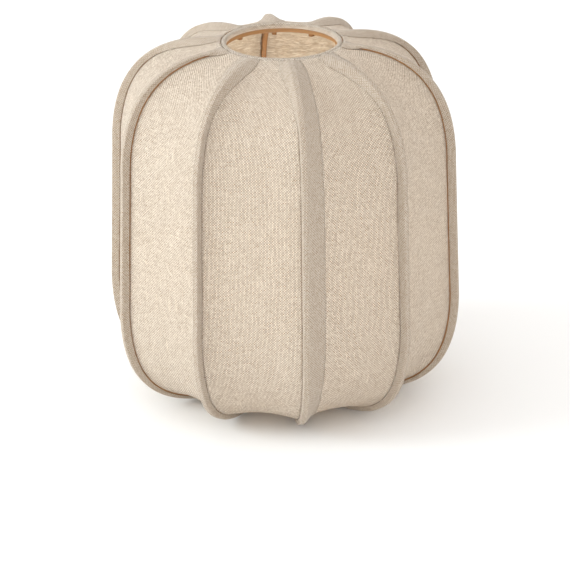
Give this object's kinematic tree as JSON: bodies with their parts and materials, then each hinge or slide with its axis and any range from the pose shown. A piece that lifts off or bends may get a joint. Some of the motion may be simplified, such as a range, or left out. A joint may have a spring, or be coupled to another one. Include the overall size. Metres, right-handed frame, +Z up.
{
  "type": "lamp shade",
  "caption": "Ribbed lantern-shaped lamp shade: woven cloth panels stretched hollow between curved flat ribs and two hoops, with taped ribs and a ring fitter inside the foot.",
  "frame": {"origin": "middle of the shade's foot, on the plane that its bottom hem stands on", "axes": "+Z up along the shade's axis; rib_01 points along -Y, which is the front; fitter_arm_1 points along +Y"},
  "size_m": [0.3452, 0.3608, 0.37],
  "materials": {
    "panel_cloth": "open plain weave of natural linen-look yarn, matt, lets light through",
    "tape_cloth": "the same cloth folded double as tape, matt",
    "rib_wood": "stained bamboo or plywood strip, satin",
    "hoop_wood": "bent strip, stained, satin",
    "fitter_steel": "off-white powder coat",
    "screw_steel": "zinc plated"
  },
  "bodies": {
    "root": {"rib_01": "rib_wood", "rib_tape_01": "tape_cloth", "panel_01": "panel_cloth", "rib_02": "rib_wood", "rib_tape_02": "tape_cloth", "panel_02": "panel_cloth", "rib_03": "rib_wood", "rib_tape_03": "tape_cloth", "panel_03": "panel_cloth", "rib_04": "rib_wood", "rib_tape_04": "tape_cloth", "panel_04": "panel_cloth", "rib_05": "rib_wood", "rib_tape_05": "tape_cloth", "panel_05": "panel_cloth", "rib_06": "rib_wood", "rib_tape_06": "tape_cloth", "panel_06": "panel_cloth", "rib_07": "rib_wood", "rib_tape_07": "tape_cloth", "panel_07": "panel_cloth", "rib_08": "rib_wood", "rib_tape_08": "tape_cloth", "panel_08": "panel_cloth", "rib_09": "rib_wood", "rib_tape_09": "tape_cloth", "panel_09": "panel_cloth", "rib_10": "rib_wood", "rib_tape_10": "tape_cloth", "panel_10": "panel_cloth", "top_hoop": "hoop_wood", "bottom_hoop": "hoop_wood", "top_hem": "tape_cloth", "bottom_hem": "tape_cloth", "fitter_ring": "fitter_steel", "fitter_arm_1": "fitter_steel", "fitter_arm_2": "fitter_steel", "fitter_arm_3": "fitter_steel", "fitter_screw_1": "screw_steel", "fitter_screw_2": "screw_steel", "fitter_screw_3": "screw_steel", "fitter_screw_4": "screw_steel", "fitter_screw_5": "screw_steel", "fitter_screw_6": "screw_steel"}
  },
  "joints": []
}
